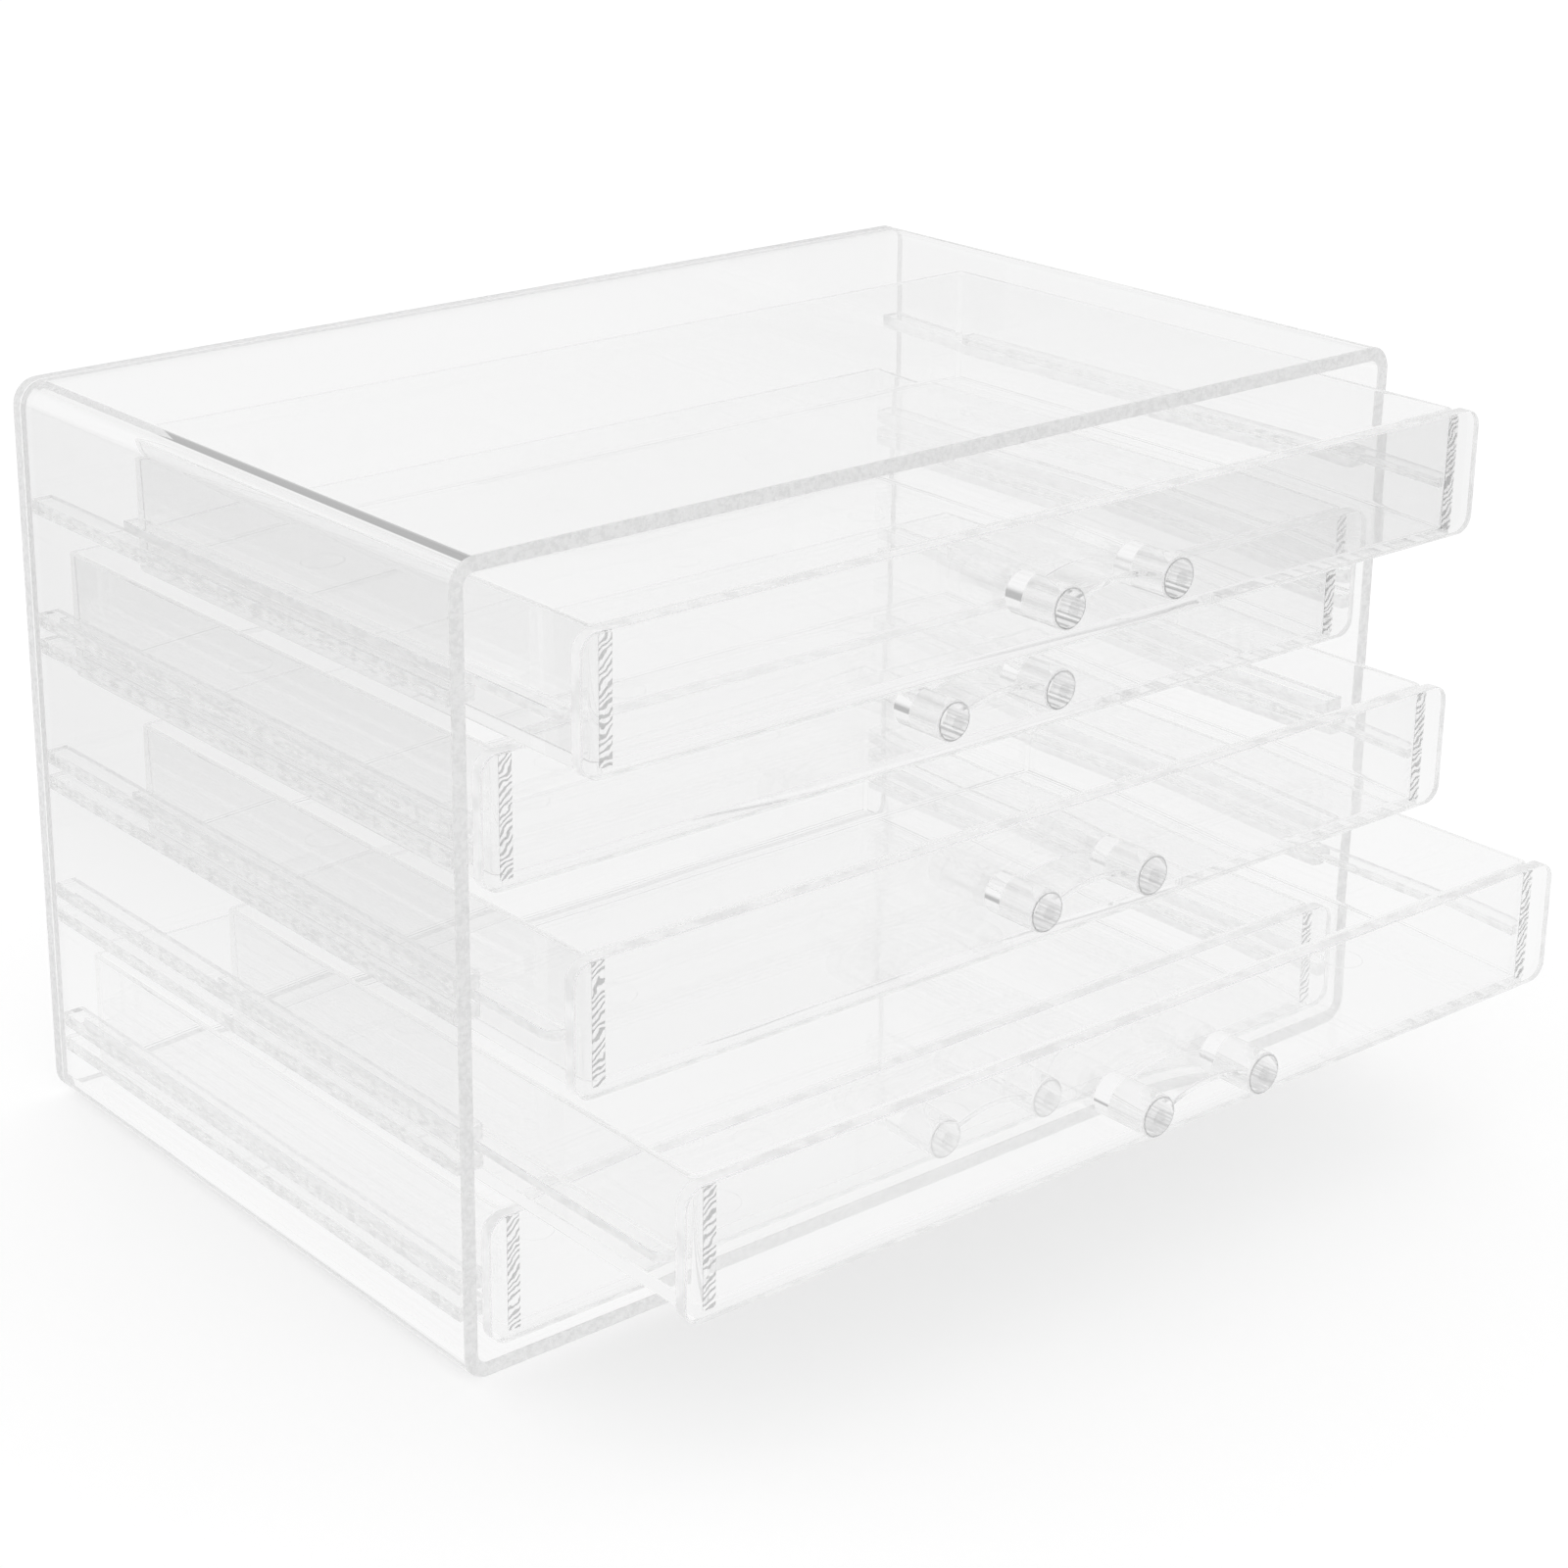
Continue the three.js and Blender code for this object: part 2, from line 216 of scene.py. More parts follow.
def stringy_cement(name, string_size, slant):
    """Solvent cement dried in slanting strings: clear between them, satin and greyer on them."""
    material, tree = new_material(name)
    place = add_node(tree, "ShaderNodeTexCoord").outputs["Object"]
    turned = add_node(tree, "ShaderNodeMapping", {"Vector": place}, Rotation=(0, slant, 0))
    strings = add_node(tree, "ShaderNodeTexWave", {"Vector": turned.outputs[0]}, wave_type="BANDS",
                       bands_direction="Z", Scale=math.tau / WAVE_BANDS / string_size,
                       Distortion=11.0, Detail=2.5)
    share = map_range(tree, strings.outputs["Fac"], STRING_RANGE)
    roughness = add_node(tree, "ShaderNodeMath", {0: share}, operation="MULTIPLY")
    roughness.inputs[1].default_value = STRING_ROUGHNESS
    shader = add_node(tree, "ShaderNodeBsdfPrincipled",
                      {"Base Color": mix_colours(tree, share, "FFFFFF", "E6E6E6"),
                       "Roughness": roughness.outputs[0]},
                      IOR=CEMENT_IOR, Transmission_Weight=1.0)
    add_node(tree, "ShaderNodeOutputMaterial", {"Surface": shader.outputs["BSDF"]})
    return material


cement = stringy_cement("solvent_cement_dried", string_size=1.3 * MM, slant=0.6)
# The same cement pooled under the handles' feet, where it dries to a satin
cement_pool = clear_plastic("solvent_cement_pooled", "FDFDFD", CEMENT_IOR, roughness=0.2,
                            wave_size=2.5 * MM, wave_height=0.12 * MM)


# Shapes

def rounded_outline(half_a, half_b, radius):
    """Points round a rectangle with round corners, anticlockwise from its lower right."""
    points = []
    for corner, (sign_a, sign_b) in enumerate(((1, -1), (1, 1), (-1, 1), (-1, -1))):
        centre_a = sign_a * (half_a - radius)
        centre_b = sign_b * (half_b - radius)
        for step in range(ARC_STEPS + 1):
            angle = math.radians(90 * (corner - 1 + step / ARC_STEPS))
            points.append((centre_a + radius * math.cos(angle),
                           centre_b + radius * math.sin(angle)))
    return points


def quarter_round(radius, outwards, steps=EASE_STEPS):
    """Inset and depth pairs along a rounded edge: outwards to the end face, or back from it."""
    pairs = []
    for step in range(steps + 1):
        angle = math.radians(90 * step / steps)
        pairs.append((radius * (1 - math.cos(angle)), radius * (1 - math.sin(angle))))
    return pairs if outwards else pairs[::-1]


def make_object(name, mesh):
    piece = bpy.data.objects.new(name, mesh)
    bpy.context.scene.collection.objects.link(piece)
    return piece


def settle_normals(piece):
    """Smooth curved stretches and true flat ones: the normals follow the larger faces."""
    piece.data.shade_smooth()
    piece.data.set_sharp_from_angle(angle=math.radians(CREASE))
    modifier = piece.modifiers.new("weighted_normals", "WEIGHTED_NORMAL")
    modifier.weight = FACE_SIZE_WEIGHT
    modifier.keep_sharp = True


def skin(name, rings, materials, bands=None, closed=False):
    """A skin through rings of equally many points: closed on itself, or capped at both ends."""
    mesh = bpy.data.meshes.new(name)
    shape = bmesh.new()
    rows = [[shape.verts.new(point) for point in ring] for ring in rings]
    pairs = list(zip(rows, rows[1:] + rows[:1])) if closed else list(zip(rows, rows[1:]))
    for index, (row, following) in enumerate(pairs):
        for step in range(len(row)):
            after = (step + 1) % len(row)
            face = shape.faces.new((row[step], row[after], following[after], following[step]))
            face.material_index = bands[index] if bands else 0
    if not closed:
        shape.faces.new(rows[0])
        shape.faces.new(rows[-1])
    bmesh.ops.recalc_face_normals(shape, faces=shape.faces[:])
    shape.to_mesh(mesh)
    shape.free()
    for material in materials:
        mesh.materials.append(material)
    return make_object(name, mesh)


def upright_ring(centre, half_width, half_height, radius, y):
    return [(centre.x + a, y, centre.z + b)
            for a, b in rounded_outline(half_width, half_height, radius)]


def level_ring(centre, half_width, half_depth, radius, z):
    return [(centre.x + a, centre.y + b, z)
            for a, b in rounded_outline(half_width, half_depth, radius)]


def drop_object(piece):
    mesh = piece.data
    bpy.data.objects.remove(piece)
    bpy.data.meshes.remove(mesh)


def settled(piece):
    """Turns a piece's modifiers into its own mesh."""
    bpy.context.view_layer.update()
    depsgraph = bpy.context.evaluated_depsgraph_get()
    made = bpy.data.meshes.new_from_object(piece.evaluated_get(depsgraph), depsgraph=depsgraph,
                                           preserve_all_data_layers=True)
    piece.modifiers.clear()
    old = piece.data
    piece.data = made
    made.name = piece.name
    bpy.data.meshes.remove(old)


def grow_together(piece, others):
    """Joins other closed solids to a piece, so that light meets no face between them."""
    for other in others:
        joint = piece.modifiers.new("grow_together", "BOOLEAN")
        joint.operation = "UNION"
        joint.solver = "EXACT"
        joint.material_mode = "TRANSFER"
        joint.object = other
    settled(piece)
    for other in others:
        drop_object(other)


# Geometry that repeats

def open_group(name, inputs):
    """A geometry node tree with a geometry input, the named inputs and a geometry output."""
    group = bpy.data.node_groups.new(name, "GeometryNodeTree")
    group.interface.new_socket("Geometry", in_out="INPUT", socket_type="NodeSocketGeometry")
    for label, kind in inputs.items():
        group.interface.new_socket(label, in_out="INPUT", socket_type=kind)
    group.interface.new_socket("Geometry", in_out="OUTPUT", socket_type="NodeSocketGeometry")
    return group, add_node(group, "NodeGroupInput").outputs


def close_group(group, geometry, material):
    """Realizes the instances, gives them a material where one is asked for, ends the tree."""
    whole = add_node(group, "GeometryNodeRealizeInstances", {"Geometry": geometry})
    last = whole
    if material:
        last = add_node(group, "GeometryNodeSetMaterial",
                        {"Geometry": whole.outputs["Geometry"], "Material": material})
    add_node(group, "NodeGroupOutput", {"Geometry": last.outputs["Geometry"]})


def use_group(piece, group, **values):
    """Runs a tree on a piece with values for its named inputs, and keeps what it makes."""
    modifier = piece.modifiers.new(group.name, "NODES")
    modifier.node_group = group
    for item in group.interface.items_tree:
        key = item.name.lower().replace(" ", "_")
        if item.item_type == "SOCKET" and item.in_out == "INPUT" and key in values:
            modifier[item.identifier] = values[key]
    settled(piece)


DISC_SIDES = 40
WIRE_SIDES = 8
# The smallest bead as a share of the largest, and how many times as long as thick a bead may be
SMALLEST_BEAD_SHARE = 0.45
BEAD_STRETCH = (1.0, 2.6)


def make_row_group():
    """The piece's own mesh, repeated at even steps."""
    group, given = open_group("row_of_copies",
                              {"Count": "NodeSocketInt", "Step": "NodeSocketVector"})
    line = add_node(group, "GeometryNodeMeshLine",
                    {"Count": given["Count"], "Offset": given["Step"]}, mode="OFFSET")
    copies = add_node(group, "GeometryNodeInstanceOnPoints",
                      {"Points": line.outputs["Mesh"], "Instance": given["Geometry"]})
    close_group(group, copies.outputs["Instances"], None)
    return group


def make_marks_group():
    """Faint rings left by the mould's ejector pins, at the points of the piece's own mesh."""
    group, given = open_group("ejector_marks", {
        "Radius": "NodeSocketFloat", "Thickness": "NodeSocketFloat",
        "Material": "NodeSocketMaterial"})
    circle = add_node(group, "GeometryNodeCurvePrimitiveCircle", {"Radius": given["Radius"]},
                      Resolution=DISC_SIDES)
    wire = add_node(group, "GeometryNodeCurvePrimitiveCircle", {"Radius": given["Thickness"]},
                    Resolution=WIRE_SIDES)
    ring = add_node(group, "GeometryNodeCurveToMesh",
                    {"Curve": circle.outputs["Curve"], "Profile Curve": wire.outputs["Curve"]})
    smooth = add_node(group, "GeometryNodeSetShadeSmooth", {"Geometry": ring.outputs["Mesh"]})
    copies = add_node(group, "GeometryNodeInstanceOnPoints",
                      {"Points": given["Geometry"], "Instance": smooth.outputs["Geometry"]})
    close_group(group, copies.outputs["Instances"], given["Material"])
    return group


def make_beads_group():
    """Beads of squeezed-out cement, of uneven size, along the edges of the piece's own mesh."""
    group, given = open_group("cement_beads", {
        "Spacing": "NodeSocketFloat", "Largest": "NodeSocketFloat", "Seed": "NodeSocketInt",
        "Material": "NodeSocketMaterial"})
    line = add_node(group, "GeometryNodeMeshToCurve", {"Mesh": given["Geometry"]})
    points = add_node(group, "GeometryNodeCurveToPoints",
                      {"Curve": line.outputs["Curve"], "Length": given["Spacing"]}, mode="LENGTH")
    smallest = add_node(group, "ShaderNodeMath", {0: given["Largest"]}, operation="MULTIPLY")
    smallest.inputs[1].default_value = SMALLEST_BEAD_SHARE
    size = add_node(group, "FunctionNodeRandomValue",
                    {2: smallest.outputs[0], 3: given["Largest"], "Seed": given["Seed"]},
                    data_type="FLOAT")
    length = add_node(group, "FunctionNodeRandomValue", {"Seed": given["Seed"]}, data_type="FLOAT")
    length.inputs[2].default_value, length.inputs[3].default_value = BEAD_STRETCH
    long_size = add_node(group, "ShaderNodeMath", {0: size.outputs[1], 1: length.outputs[1]},
                         operation="MULTIPLY")
    scale = add_node(group, "ShaderNodeCombineXYZ",
                     {"X": long_size.outputs[0], "Y": size.outputs[1], "Z": size.outputs[1]})
    bead = add_node(group, "GeometryNodeMeshIcoSphere", Radius=1.0, Subdivisions=2)
    smooth = add_node(group, "GeometryNodeSetShadeSmooth", {"Geometry": bead.outputs["Mesh"]})
    copies = add_node(group, "GeometryNodeInstanceOnPoints",
                      {"Points": points.outputs["Points"], "Instance": smooth.outputs["Geometry"],
                       "Scale": scale.outputs["Vector"]})
    close_group(group, copies.outputs["Instances"], given["Material"])
    return group


def make_dabs_group():
    """Thin round dabs of cement that stand upright, one at each point of the piece's own mesh."""
    group, given = open_group("cement_dabs", {
        "Radius": "NodeSocketFloat", "Thickness": "NodeSocketFloat",
        "Material": "NodeSocketMaterial"})
    dab = add_node(group, "GeometryNodeMeshCylinder",
                   {"Radius": given["Radius"], "Depth": given["Thickness"]}, Vertices=DISC_SIDES)
    copies = add_node(group, "GeometryNodeInstanceOnPoints",
                      {"Points": given["Geometry"], "Instance": dab.outputs["Mesh"]},
                      Rotation=(math.pi / 2, 0, 0))
    close_group(group, copies.outputs["Instances"], given["Material"])
    return group


row_of_copies = make_row_group()
ejector_marks = make_marks_group()
cement_beads = make_beads_group()
cement_dabs = make_dabs_group()


def points_object(name, points, edges=()):
    mesh = bpy.data.meshes.new(name)
    mesh.from_pydata([tuple(point) for point in points], edges, [])
    return make_object(name, mesh)


# Strips

STRIP_EASE = 0.1 * MM
# How far a face has to look forwards, or to the free side, to count as sawn
NOSE_FACES = 0.35
FREE_SIDE_FACES = 0.8


def make_strip(name, rooted_x, free_x, front_y, back_y, bottom_z, top_z, nose_radius):
    """A strip along a side: straight where it is rooted, its free front corner rounded off."""
    inward = math.copysign(1, free_x - rooted_x)

    def plan(inset, z):
        edge = free_x - inward * inset
        nose = front_y + inset
        points = [(rooted_x, back_y - inset, z), (rooted_x, nose, z)]
        for step in range(ARC_STEPS + 1):
            angle = math.radians(90 * step / ARC_STEPS)
            points.append((edge - inward * nose_radius * (1 - math.sin(angle)),
                           nose + nose_radius * (1 - math.cos(angle)), z))
        points.append((edge, back_y - inset, z))
        return points

    rings = [plan(STRIP_EASE, bottom_z), plan(0, bottom_z + STRIP_EASE),
             plan(0, top_z - STRIP_EASE), plan(STRIP_EASE, top_z)]
    strip = skin(name, rings, [strip_stock, strip_end_painted_glow])
    for face in strip.data.polygons:
        if face.normal.y < -NOSE_FACES or inward * face.normal.x > FREE_SIDE_FACES:
            face.material_index = 1
    return strip


# Case

CASE_WALL = 3 * MM
CASE_RADIUS = 5.4 * MM
RIM_EASE = 0.2 * MM
# How deep a rib reaches into the wall that it has grown together with
RIB_ROOT = 1 * MM
RIB_BACK_EASE = 0.3 * MM
RIB_NOSE_RADIUS = 1.2 * MM


def ribs_from(number, level, count):
    """The pair of ribs of one drawer, repeated upwards for the ones above it."""
    made = []
    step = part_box("front_panel_1")[0].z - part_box("front_panel_2")[0].z
    for side_name, side in (("left", -1), ("right", 1)):
        low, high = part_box(f"guide_rib_{number}_{side_name}_{level}")
        rooted, free = (low.x - RIB_ROOT, high.x) if side < 0 else (high.x + RIB_ROOT, low.x)
        rib = make_strip(f"rib_{side_name}_{level}", rooted, free, low.y, high.y - RIB_BACK_EASE,
                         low.z, high.z, RIB_NOSE_RADIUS)
        use_group(rib, row_of_copies, count=count, step=(0, 0, step))
        made.append(rib)
    return made


def make_case():
    """The bent tube with its ribs: polished outside and inside, sawn round both of its rims."""
    low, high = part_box("case_shell")
    centre = (low + high) / 2
    half_width, half_height = (high.x - low.x) / 2, (high.z - low.z) / 2
    leading, trailing = quarter_round(RIM_EASE, False), quarter_round(RIM_EASE, True)
    profile = [(inset, low.y + depth) for inset, depth in leading]
    profile += [(inset, high.y - depth) for inset, depth in trailing]
    profile += [(CASE_WALL - inset, high.y - depth) for inset, depth in leading]
    profile += [(CASE_WALL - inset, low.y + depth) for inset, depth in trailing]
    rings = [upright_ring(centre, half_width - inset, half_height - inset, CASE_RADIUS - inset, y)
             for inset, y in profile]
    outside, inside = EASE_STEPS, 3 * EASE_STEPS + 2
    bands = [0 if index in (outside, inside) else 1 for index in range(len(profile))]
    tube = skin("case_tube", rings, [sheet, sawn_edge_painted_glow], bands=bands, closed=True)
    grow_together(tube, ribs_from(DRAWER_COUNT, "lower", DRAWER_COUNT)
                  + ribs_from(DRAWER_COUNT, "upper", UPPER_RIB_PAIRS))
    settle_normals(tube)
    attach(tube, "case")
    ribs = [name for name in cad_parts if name.startswith("guide_rib")]
    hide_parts("case_shell", *ribs)


def upright_plate(name, node, radius, ease, materials):
    """A flat plate in a node's box, with eased edges and its second material round the cut side."""
    low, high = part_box(node)
    centre = (low + high) / 2
    half_width, half_height = (high.x - low.x) / 2, (high.z - low.z) / 2
    profile = [(inset, low.y + depth) for inset, depth in quarter_round(ease, False)]
    profile += [(inset, high.y - depth) for inset, depth in quarter_round(ease, True)]
    rings = [upright_ring(centre, half_width - inset, half_height - inset, radius - inset, y)
             for inset, y in profile]
    bands = [1 if index == EASE_STEPS else 0 for index in range(len(rings) - 1)]
    plate = skin(name, rings, materials, bands=bands)
    settle_normals(plate)
    return plate


def make_back():
    back = upright_plate("back_sheet", "back_panel", CASE_RADIUS, RIM_EASE, [sheet, sawn_edge_painted_glow])
    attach(back, "case")
    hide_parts("back_panel")


# Drawers

FRONT_RADIUS = 3.8 * MM
FRONT_EASE = 0.3 * MM
TRAY_RADIUS = 1.6 * MM
TRAY_INNER_RADIUS = 1.2 * MM
TRAY_WALL_AT_FLOOR = 2 * MM
TRAY_WALL_AT_RIM = 1.2 * MM
TRAY_FLOOR = 2 * MM
TRAY_FOOT_RADIUS = 0.8 * MM
TRAY_RIM_EASE = 0.45 * MM
RUNNER_ROOT = 0.7 * MM
RUNNER_NOSE_RADIUS = 2.8 * MM


def make_front(number):
    plate = upright_plate(f"drawer_front_{number}", f"front_panel_{number}", FRONT_RADIUS,
                          FRONT_EASE, [front, front_edge_painted_glow])
    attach(plate, f"drawer_{number}")
    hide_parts(f"front_panel_{number}")


def runners_for(number):
    made = []
    for side_name, side in (("left", -1), ("right", 1)):
        low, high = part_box(f"runner_{number}_{side_name}")
        rooted = high.x + RUNNER_ROOT if side < 0 else low.x - RUNNER_ROOT
        free = low.x if side < 0 else high.x
        made.append(make_strip(f"runner_strip_{side_name}", rooted, free, low.y, high.y,
                               low.z, high.z, RUNNER_NOSE_RADIUS))
    return made


def make_tray(number):
    """The moulded tray with draft inside its walls, and its runners grown on to it."""
    low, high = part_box(f"tray_{number}")
    centre = (low + high) / 2
    half_width, half_depth = (high.x - low.x) / 2, (high.y - low.y) / 2
    floor = low.z + TRAY_FLOOR

    def outer(inset, z):
        return level_ring(centre, half_width - inset, half_depth - inset, TRAY_RADIUS - inset, z)

    def inner(inset, z, tighter=0.0):
        return level_ring(centre, half_width - inset, half_depth - inset,
                          TRAY_INNER_RADIUS - tighter, z)

    rings = [outer(inset, low.z + height)
             for inset, height in quarter_round(TRAY_FOOT_RADIUS, False)]
    rings += [outer(inset, high.z - height) for inset, height in quarter_round(TRAY_RIM_EASE, True)]
    rings += [inner(TRAY_WALL_AT_RIM - inset, high.z - height)
              for inset, height in quarter_round(TRAY_RIM_EASE, False)]
    rings += [inner(TRAY_WALL_AT_FLOOR + inset, floor + height, inset)
              for inset, height in quarter_round(TRAY_FOOT_RADIUS, True)]
    tray = skin(f"moulded_tray_{number}", rings, [moulded])
    grow_together(tray, runners_for(number))
    settle_normals(tray)
    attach(tray, f"drawer_{number}")
    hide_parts(f"tray_{number}", f"runner_{number}_left", f"runner_{number}_right")


# Places of the ejector marks on a tray's floor, from its centre, and their lift above the floor
MARKS = [(x * MM, y * MM) for x in (-84, -28, 28, 84) for y in (-46, 46)]
MARK_RADIUS = 4.2 * MM
MARK_LINE = 0.08 * MM
MARK_LIFT = 0.12 * MM


def make_marks(number):
    low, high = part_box(f"tray_{number}")
    centre = (low + high) / 2
    points = [(centre.x + x, centre.y + y, low.z + TRAY_FLOOR + MARK_LIFT) for x, y in MARKS]
    marks = points_object(f"ejector_marks_{number}", points)
    use_group(marks, ejector_marks, radius=MARK_RADIUS, thickness=MARK_LINE, material=moulded)
    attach(marks, f"drawer_{number}")


# Cement between the front and the tray: a thin strip up each end, and beads along the top
SEAM_THICKNESS = 0.06 * MM
SEAM_WIDTH = 2.8 * MM
SEAM_RADIUS = 0.3 * MM
SEAM_END_GAP = 1.2 * MM
BEAD_SIZE = 0.16 * MM
BEAD_SPACING = 0.9 * MM
BEADS_BELOW_RIM = 0.3 * MM
BEADS_FROM_END = 2 * MM
# How far the beads run in from each end, by turns from drawer to drawer
BEADS_REACH = (30 * MM, 58 * MM)


def make_seam(number):
    """The two upright strips of cement, as one piece."""
    panel_low, panel_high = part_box(f"front_panel_{number}")
    tray_low, tray_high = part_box(f"tray_{number}")
    middle_y = (panel_high.y + tray_low.y) / 2
    bottom, top = panel_low.z + SEAM_END_GAP, tray_high.z - SEAM_END_GAP
    strips = []
    for side in (-1, 1):
        outer_x = side * (tray_high.x - TRAY_RADIUS / 2)
        x0, x1 = sorted((outer_x, outer_x - side * SEAM_WIDTH))
        centre = Vector(((x0 + x1) / 2, middle_y, (bottom + top) / 2))
        rings = [upright_ring(centre, (x1 - x0) / 2, (top - bottom) / 2, SEAM_RADIUS,
                              middle_y + offset)
                 for offset in (-SEAM_THICKNESS / 2, SEAM_THICKNESS / 2)]
        strips.append(skin(f"seam_{side}", rings, [cement]))
    seam = strips[0]
    seam.name = f"cement_seam_{number}"
    grow_together(seam, strips[1:])
    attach(seam, f"drawer_{number}")
    make_beads(number, tray_high, middle_y)


def make_beads(number, tray_high, middle_y):
    """Beads of cement inwards from both ends, just below the tray's rim."""
    height = tray_high.z - BEADS_BELOW_RIM
    reach = BEADS_REACH[number % 2]
    lines = [(side * (tray_high.x - BEADS_FROM_END - share * reach), middle_y, height)
             for side in (-1, 1) for share in (0, 1)]
    beads = points_object(f"cement_beads_{number}", lines, [(0, 1), (2, 3)])
    use_group(beads, cement_beads, spacing=BEAD_SPACING, largest=BEAD_SIZE, seed=number,
              material=cement)
    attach(beads, f"drawer_{number}")


# Handles

POST_RADIUS = 4.2 * MM
POST_SPACING = 28 * MM
POST_EASE = 0.55 * MM
POST_EASE_STEPS = 6
# The bands of the post that the turned rim leaves out, counted from the foot
POST_PLAIN_BANDS = 5
POST_SIDES = 72
BOW_WIDTH = 11.2 * MM
BOW_THICKNESS = 1.2 * MM
BOW_RISE = 2.5 * MM
BOW_END_HEIGHT = 1.1 * MM
BOW_SEAT = 2.4 * MM
BOW_EASE = 0.25 * MM
BOW_STEPS = 36
DAB_RADIUS = 1.4 * MM


def make_post(name, centre_x, foot_y, end_y, axis_z):
    """A round post from its foot on the front to its eased free end."""
    profile = [(0.0, foot_y)]
    profile += [(inset, end_y + depth)
                for inset, depth in quarter_round(POST_EASE, True, POST_EASE_STEPS)]
    turns = [math.tau * step / POST_SIDES for step in range(POST_SIDES)]
    rings = []
    for inset, y in profile:
        radius = POST_RADIUS - inset
        rings.append([(centre_x + radius * math.cos(turn), y, axis_z + radius * math.sin(turn))
                      for turn in turns])
    bands = [1 if index >= POST_PLAIN_BANDS else 0 for index in range(len(rings) - 1)]
    return skin(name, rings, [handle_plastic, handle_rim_painted_shade], bands=bands)


def make_bow(front_y, axis_z):
    """The arched strip between the posts, its long edges eased."""
    half_span = POST_SPACING / 2 - BOW_SEAT
    radius = (half_span ** 2 + BOW_RISE ** 2) / (2 * BOW_RISE)
    half_angle = math.asin(half_span / radius)
    centre_z = axis_z + BOW_END_HEIGHT - radius * math.cos(half_angle)
    middle_radius = radius - BOW_THICKNESS / 2
    middle_y = front_y + BOW_WIDTH / 2
    outline = rounded_outline(BOW_WIDTH / 2, BOW_THICKNESS / 2, BOW_EASE)
    rings = []
    for step in range(BOW_STEPS + 1):
        angle = -half_angle + 2 * half_angle * step / BOW_STEPS
        rings.append([((middle_radius + b) * math.sin(angle), middle_y + a,
                       centre_z + (middle_radius + b) * math.cos(angle)) for a, b in outline])
    return skin("bow", rings, [handle_plastic])


def make_dabs(number, foot_y, axis_z):
    """The dabs of cement under the feet of a handle."""
    middle_y = (foot_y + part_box(f"front_panel_{number}")[0].y) / 2
    dabs = points_object(f"handle_cement_{number}",
                         [(side * POST_SPACING / 2, middle_y, axis_z) for side in (-1, 1)])
    use_group(dabs, cement_dabs, radius=DAB_RADIUS, thickness=SEAM_THICKNESS,
              material=cement_pool)
    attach(dabs, f"drawer_{number}")


def make_handle(number):
    low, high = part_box(f"handle_{number}")
    axis_z = low.z + POST_RADIUS
    posts = [make_post(f"post_{side}", side * POST_SPACING / 2, high.y, low.y, axis_z)
             for side in (-1, 1)]
    bow = make_bow((low.y + high.y - BOW_WIDTH) / 2, axis_z)
    handle = posts[0]
    handle.name = f"moulded_handle_{number}"
    grow_together(handle, [posts[1], bow])
    settle_normals(handle)
    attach(handle, f"drawer_{number}")
    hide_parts(f"handle_{number}")
    make_dabs(number, high.y, axis_z)


make_case()
make_back()
for drawer in DRAWERS:
    make_front(drawer)
    make_tray(drawer)
    make_marks(drawer)
    make_seam(drawer)
    make_handle(drawer)


# Floor, light and camera

FLOOR_SIZE = 8.0
FLOOR_DROP = 0.05 * MM
# To the camera the table is lit, and lifted by a glow of its own; the plastic sees the other tones,
# with painted shade in them
TABLE_LIT = "A0A0A0"
TABLE_LIFT = "DADADA"
TABLE_BRIGHT = "FBFBFB"
TABLE_PAINTED_SHADE = "BCBCBC"
TABLE_PAINTED_TRIPOD_SHADE = "B0B0B0"
# Where painted shade turns the table grey as the plastic sees it, in metres from white to grey
PAINTED_SHADE_LEFT = (-0.125, -0.24)
PAINTED_SHADE_AHEAD = (-0.14, -0.2)
PAINTED_SHADE_RIGHT = (0.2, 0.45)
# A painted shade spot on the table under the camera, as a dark tripod would give, seen only in the
# plastic, with its distances from lit to dark
PAINTED_TRIPOD_SHADE_PLACE = (-0.43, -0.55, 0)
PAINTED_TRIPOD_SHADE_RANGE = (0.4, 0.25)


